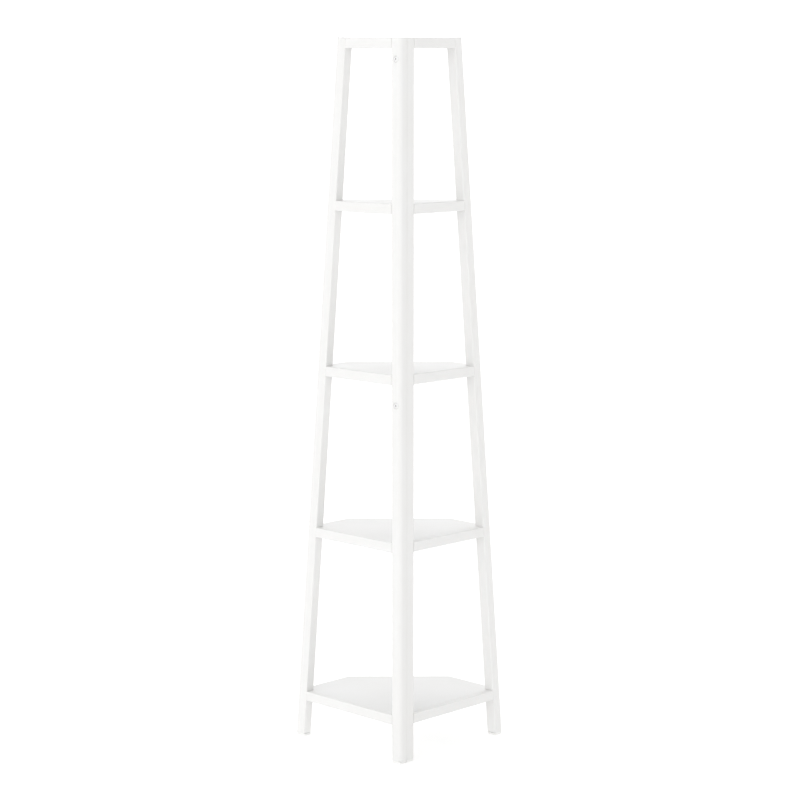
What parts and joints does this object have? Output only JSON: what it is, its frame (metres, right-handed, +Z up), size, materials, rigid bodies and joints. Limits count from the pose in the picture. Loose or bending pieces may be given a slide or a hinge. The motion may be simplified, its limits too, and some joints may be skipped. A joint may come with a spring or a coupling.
{
  "type": "corner ladder shelf",
  "caption": "White corner ladder shelf: two tapering ladder frames bolted together at a corner post, with five-sided shelves that get deeper towards the floor.",
  "frame": {"origin": "on the floor, under the middle of the box that the shelf unit takes up", "axes": "+Z up; the post is at the corner of -X and -Y, the left wall lies along the -X side and the right wall along the -Y side, and the room is towards +X +Y"},
  "size_m": [0.364, 0.364, 1.7175],
  "materials": {
    "white_paint_frame": "satin white paint over solid wood",
    "white_paint_shelf": "satin white paint over fibreboard",
    "zinc_bolt": "zinc plated",
    "zinc_screw": "zinc plated",
    "beech_dowel": "fluted beech, unfinished",
    "white_glide": "matte moulded"
  },
  "bodies": {
    "root": {"left_stile": "white_paint_frame", "right_stile": "white_paint_frame", "left_leg": "white_paint_frame", "right_leg": "white_paint_frame", "left_rail_1": "white_paint_frame", "right_rail_1": "white_paint_frame", "left_rail_2": "white_paint_frame", "right_rail_2": "white_paint_frame", "left_rail_3": "white_paint_frame", "right_rail_3": "white_paint_frame", "left_rail_4": "white_paint_frame", "right_rail_4": "white_paint_frame", "left_rail_5": "white_paint_frame", "right_rail_5": "white_paint_frame", "shelf_1": "white_paint_shelf", "shelf_2": "white_paint_shelf", "shelf_3": "white_paint_shelf", "shelf_4": "white_paint_shelf", "shelf_5": "white_paint_shelf", "shelf_1_screw_1": "zinc_screw", "shelf_1_screw_2": "zinc_screw", "shelf_1_screw_3": "zinc_screw", "shelf_1_screw_4": "zinc_screw", "shelf_2_screw_1": "zinc_screw", "shelf_2_screw_2": "zinc_screw", "shelf_2_screw_3": "zinc_screw", "shelf_2_screw_4": "zinc_screw", "shelf_3_screw_1": "zinc_screw", "shelf_3_screw_2": "zinc_screw", "shelf_3_screw_3": "zinc_screw", "shelf_3_screw_4": "zinc_screw", "shelf_4_screw_1": "zinc_screw", "shelf_4_screw_2": "zinc_screw", "shelf_4_screw_3": "zinc_screw", "shelf_4_screw_4": "zinc_screw", "shelf_5_screw_1": "zinc_screw", "shelf_5_screw_2": "zinc_screw", "shelf_5_screw_3": "zinc_screw", "shelf_5_screw_4": "zinc_screw", "lower_post_bolt": "zinc_bolt", "lower_post_nut": "zinc_bolt", "upper_post_bolt": "zinc_bolt", "upper_post_nut": "zinc_bolt", "post_dowel": "beech_dowel", "left_stile_glide": "white_glide", "right_stile_glide": "white_glide", "left_leg_glide": "white_glide", "right_leg_glide": "white_glide"}
  },
  "joints": []
}
